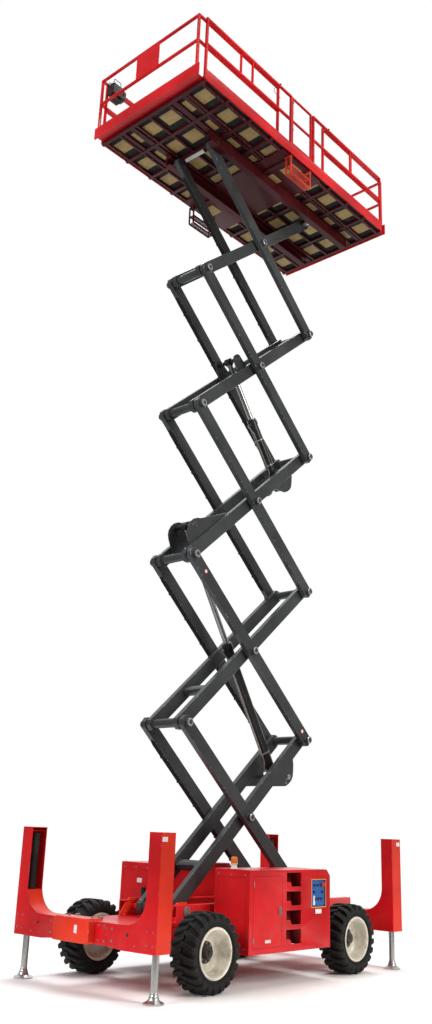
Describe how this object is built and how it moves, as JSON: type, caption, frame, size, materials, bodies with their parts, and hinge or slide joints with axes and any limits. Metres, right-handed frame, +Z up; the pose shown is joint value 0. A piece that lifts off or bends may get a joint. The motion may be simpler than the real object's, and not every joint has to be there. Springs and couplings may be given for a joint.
{
  "type": "rough-terrain scissor lift",
  "caption": "Self-propelled scissor lift with a tall stack of crossed arms, a railed platform with sliding ends, jack legs at the corners and lugged wheels.",
  "frame": {"origin": "on the ground under the middle of the machine's box, with the stack raised as stored", "axes": "+Z up, -Y towards the front of the machine, where the steered wheels are, +X towards its near side, where the ladder and the ground controls are"},
  "size_m": [2.4156, 5.056, 13.21],
  "materials": {
    "red_paint": "gloss",
    "orange_paint": "gloss",
    "charcoal_paint": "satin",
    "black_paint": "satin",
    "tyre_rubber": "matte",
    "rim_paint": "satin",
    "bright_steel": "bright",
    "blue_panel": "satin",
    "amber_lens": "gloss"
  },
  "bodies": {
    "chassis": {"chassis_frame": "red_paint", "front_near_outrigger": "red_paint", "front_far_outrigger": "red_paint", "rear_near_outrigger": "red_paint", "rear_far_outrigger": "red_paint", "front_axle": "black_paint", "rear_axle": "black_paint", "near_cabinet": "red_paint", "far_cabinet": "red_paint", "ground_control_panel": "blue_panel", "engine_block": "black_paint", "beacon": "amber_lens"},
    "inner_frame_1": {"inner_frame_1": "charcoal_paint"},
    "outer_frame_1": {"outer_frame_1": "charcoal_paint"},
    "inner_frame_2": {"inner_frame_2": "charcoal_paint"},
    "outer_frame_2": {"outer_frame_2": "charcoal_paint"},
    "inner_frame_3": {"inner_frame_3": "charcoal_paint"},
    "outer_frame_3": {"outer_frame_3": "charcoal_paint"},
    "inner_frame_4": {"inner_frame_4": "charcoal_paint"},
    "outer_frame_4": {"outer_frame_4": "charcoal_paint"},
    "inner_frame_5": {"inner_frame_5": "charcoal_paint"},
    "outer_frame_5": {"outer_frame_5": "charcoal_paint"},
    "lower_cylinder_barrel": {"lower_cylinder_barrel": "black_paint"},
    "lower_cylinder_rod": {"lower_cylinder_rod": "bright_steel"},
    "lower_slide_shoes": {"lower_slide_shoes": "bright_steel"},
    "upper_cylinder_barrel": {"upper_cylinder_barrel": "black_paint"},
    "upper_cylinder_rod": {"upper_cylinder_rod": "bright_steel"},
    "upper_slide_shoes": {"upper_slide_shoes": "bright_steel"},
    "platform": {"platform_deck": "red_paint", "near_side_rail": "red_paint", "far_side_rail": "red_paint", "near_entry_step": "orange_paint", "far_entry_step": "orange_paint"},
    "front_extension": {"front_extension": "red_paint", "platform_control_box": "black_paint"},
    "rear_extension": {"rear_extension": "red_paint"},
    "near_gate": {"near_gate": "red_paint"},
    "near_knuckle": {"near_knuckle": "black_paint"},
    "front_near_wheel": {"front_near_tyre": "tyre_rubber", "front_near_rim": "rim_paint"},
    "front_near_jack_leg": {"front_near_jack_leg": "bright_steel"},
    "rear_near_wheel": {"rear_near_tyre": "tyre_rubber", "rear_near_rim": "rim_paint"},
    "rear_near_jack_leg": {"rear_near_jack_leg": "bright_steel"},
    "far_gate": {"far_gate": "red_paint"},
    "far_knuckle": {"far_knuckle": "black_paint"},
    "front_far_wheel": {"front_far_tyre": "tyre_rubber", "front_far_rim": "rim_paint"},
    "front_far_jack_leg": {"front_far_jack_leg": "bright_steel"},
    "rear_far_wheel": {"rear_far_tyre": "tyre_rubber", "rear_far_rim": "rim_paint"},
    "rear_far_jack_leg": {"rear_far_jack_leg": "bright_steel"}
  },
  "joints": [
    {"name": "lift", "type": "hinge", "parent": "chassis", "child": "inner_frame_1", "pos_m": [0, -1.34058, 0.807], "axis": [1, 0, 0], "range_deg": [-36.02, 18.98]},
    {"name": "middle_pivot_1", "type": "hinge", "parent": "inner_frame_1", "child": "outer_frame_1", "pos_m": [0, -0.064, 1.9175], "axis": [1, 0, 0], "range_deg": [-38.46, 72.54]},
    {"name": "front_pivot_1", "type": "hinge", "parent": "outer_frame_1", "child": "inner_frame_2", "pos_m": [0, -1.34058, 3.028], "axis": [1, 0, 0], "range_deg": [-72.54, 38.46]},
    {"name": "middle_pivot_2", "type": "hinge", "parent": "inner_frame_2", "child": "outer_frame_2", "pos_m": [0, -0.064, 4.13849], "axis": [1, 0, 0], "range_deg": [-38.46, 72.54]},
    {"name": "front_pivot_2", "type": "hinge", "parent": "outer_frame_2", "child": "inner_frame_3", "pos_m": [0, -1.34058, 5.24899], "axis": [1, 0, 0], "range_deg": [-72.54, 38.46]},
    {"name": "middle_pivot_3", "type": "hinge", "parent": "inner_frame_3", "child": "outer_frame_3", "pos_m": [0, -0.064, 6.35949], "axis": [1, 0, 0], "range_deg": [-38.46, 72.54]},
    {"name": "front_pivot_3", "type": "hinge", "parent": "outer_frame_3", "child": "inner_frame_4", "pos_m": [0, -1.34058, 7.46999], "axis": [1, 0, 0], "range_deg": [-72.54, 38.46]},
    {"name": "middle_pivot_4", "type": "hinge", "parent": "inner_frame_4", "child": "outer_frame_4", "pos_m": [0, -0.064, 8.58048], "axis": [1, 0, 0], "range_deg": [-38.46, 72.54]},
    {"name": "front_pivot_4", "type": "hinge", "parent": "outer_frame_4", "child": "inner_frame_5", "pos_m": [0, -1.34058, 9.69098], "axis": [1, 0, 0], "range_deg": [-72.54, 38.46]},
    {"name": "middle_pivot_5", "type": "hinge", "parent": "inner_frame_5", "child": "outer_frame_5", "pos_m": [0, -0.064, 10.80148], "axis": [1, 0, 0], "range_deg": [-38.46, 72.54]},
    {"name": "platform_pivot", "type": "hinge", "parent": "outer_frame_5", "child": "platform", "pos_m": [0, -1.34058, 11.91198], "axis": [1, 0, 0], "range_deg": [-36.52, 19.48]},
    {"name": "lower_shoe_pivot", "type": "hinge", "parent": "outer_frame_1", "child": "lower_slide_shoes", "pos_m": [0, 1.21258, 0.807], "axis": [1, 0, 0], "range_deg": [-36.52, 19.48]},
    {"name": "upper_shoe_pivot", "type": "hinge", "parent": "inner_frame_5", "child": "upper_slide_shoes", "pos_m": [0, 1.21258, 11.91198], "axis": [1, 0, 0], "range_deg": [-19.48, 36.52]},
    {"name": "lower_cylinder_pivot", "type": "hinge", "parent": "inner_frame_1", "child": "lower_cylinder_barrel", "pos_m": [0, 0.91734, 2.49283], "axis": [1, 0, 0], "range_deg": [-35.8, 67.5]},
    {"name": "lower_cylinder_stroke", "type": "slide", "parent": "lower_cylinder_barrel", "child": "lower_cylinder_rod", "axis": [0, -0.5388, 0.8424], "range_m": [-1.1366, 0.6013]},
    {"name": "upper_cylinder_pivot", "type": "hinge", "parent": "inner_frame_3", "child": "upper_cylinder_barrel", "pos_m": [0, 0.91734, 6.93482], "axis": [1, 0, 0], "range_deg": [-32.01, 60.29]},
    {"name": "upper_cylinder_stroke", "type": "slide", "parent": "upper_cylinder_barrel", "child": "upper_cylinder_rod", "axis": [0, -0.6025, 0.7982], "range_m": [-0.5205, 0.2766]},
    {"name": "steering", "type": "hinge", "parent": "chassis", "child": "near_knuckle", "pos_m": [0.68, -1.503, 0.428], "axis": [0, 0, 1], "range_deg": [-28, 28]},
    {"name": "far_steering", "type": "hinge", "parent": "chassis", "child": "far_knuckle", "pos_m": [-0.68, -1.503, 0.428], "axis": [0, 0, 1], "range_deg": [-28.5, 28.5]},
    {"name": "front_near_wheel_spin", "type": "hinge", "parent": "near_knuckle", "child": "front_near_wheel", "pos_m": [0.968, -1.503, 0.428], "axis": [1, 0, 0], "continuous": true},
    {"name": "rear_near_wheel_spin", "type": "hinge", "parent": "chassis", "child": "rear_near_wheel", "pos_m": [0.968, 1.333, 0.428], "axis": [1, 0, 0], "continuous": true},
    {"name": "front_far_wheel_spin", "type": "hinge", "parent": "far_knuckle", "child": "front_far_wheel", "pos_m": [-0.968, -1.503, 0.428], "axis": [1, 0, 0], "continuous": true},
    {"name": "rear_far_wheel_spin", "type": "hinge", "parent": "chassis", "child": "rear_far_wheel", "pos_m": [-0.968, 1.333, 0.428], "axis": [1, 0, 0], "continuous": true},
    {"name": "front_near_jack", "type": "slide", "parent": "chassis", "child": "front_near_jack_leg", "axis": [0, 0, 1], "range_m": [0, 0.33]},
    {"name": "front_far_jack", "type": "slide", "parent": "chassis", "child": "front_far_jack_leg", "axis": [0, 0, 1], "range_m": [0, 0.33]},
    {"name": "rear_near_jack", "type": "slide", "parent": "chassis", "child": "rear_near_jack_leg", "axis": [0, 0, 1], "range_m": [0, 0.33]},
    {"name": "rear_far_jack", "type": "slide", "parent": "chassis", "child": "rear_far_jack_leg", "axis": [0, 0, 1], "range_m": [0, 0.33]},
    {"name": "front_extension_slide", "type": "slide", "parent": "platform", "child": "front_extension", "axis": [0, -1, 0], "range_m": [0, 1.2]},
    {"name": "rear_extension_slide", "type": "slide", "parent": "platform", "child": "rear_extension", "axis": [0, 1, 0], "range_m": [0, 1.2]},
    {"name": "near_gate_hinge", "type": "hinge", "parent": "platform", "child": "near_gate", "pos_m": [1.102, 0.2875, 12.61198], "axis": [0, 0, -1], "range_deg": [0, 90]},
    {"name": "far_gate_hinge", "type": "hinge", "parent": "platform", "child": "far_gate", "pos_m": [-1.102, 0.2875, 12.61198], "axis": [0, 0, 1], "range_deg": [0, 90]}
  ],
  "couplings": [
    {"joint": "middle_pivot_1", "follows": "lift", "ratio": -2},
    {"joint": "front_pivot_1", "follows": "lift", "ratio": 2},
    {"joint": "middle_pivot_2", "follows": "lift", "ratio": -2},
    {"joint": "front_pivot_2", "follows": "lift", "ratio": 2},
    {"joint": "middle_pivot_3", "follows": "lift", "ratio": -2},
    {"joint": "front_pivot_3", "follows": "lift", "ratio": 2},
    {"joint": "middle_pivot_4", "follows": "lift", "ratio": -2},
    {"joint": "front_pivot_4", "follows": "lift", "ratio": 2},
    {"joint": "middle_pivot_5", "follows": "lift", "ratio": -2},
    {"joint": "platform_pivot", "follows": "lift", "ratio": 1},
    {"joint": "lower_shoe_pivot", "follows": "lift", "ratio": 1},
    {"joint": "upper_shoe_pivot", "follows": "lift", "ratio": -1},
    {"joint": "lower_cylinder_pivot", "follows": "lift", "ratio": -1.86},
    {"joint": "lower_cylinder_stroke", "follows": "lift", "m_per_rad": 1.8},
    {"joint": "upper_cylinder_pivot", "follows": "lift", "ratio": -1.66},
    {"joint": "upper_cylinder_stroke", "follows": "lift", "m_per_rad": 0.82},
    {"joint": "far_steering", "follows": "steering", "ratio": 1}
  ]
}
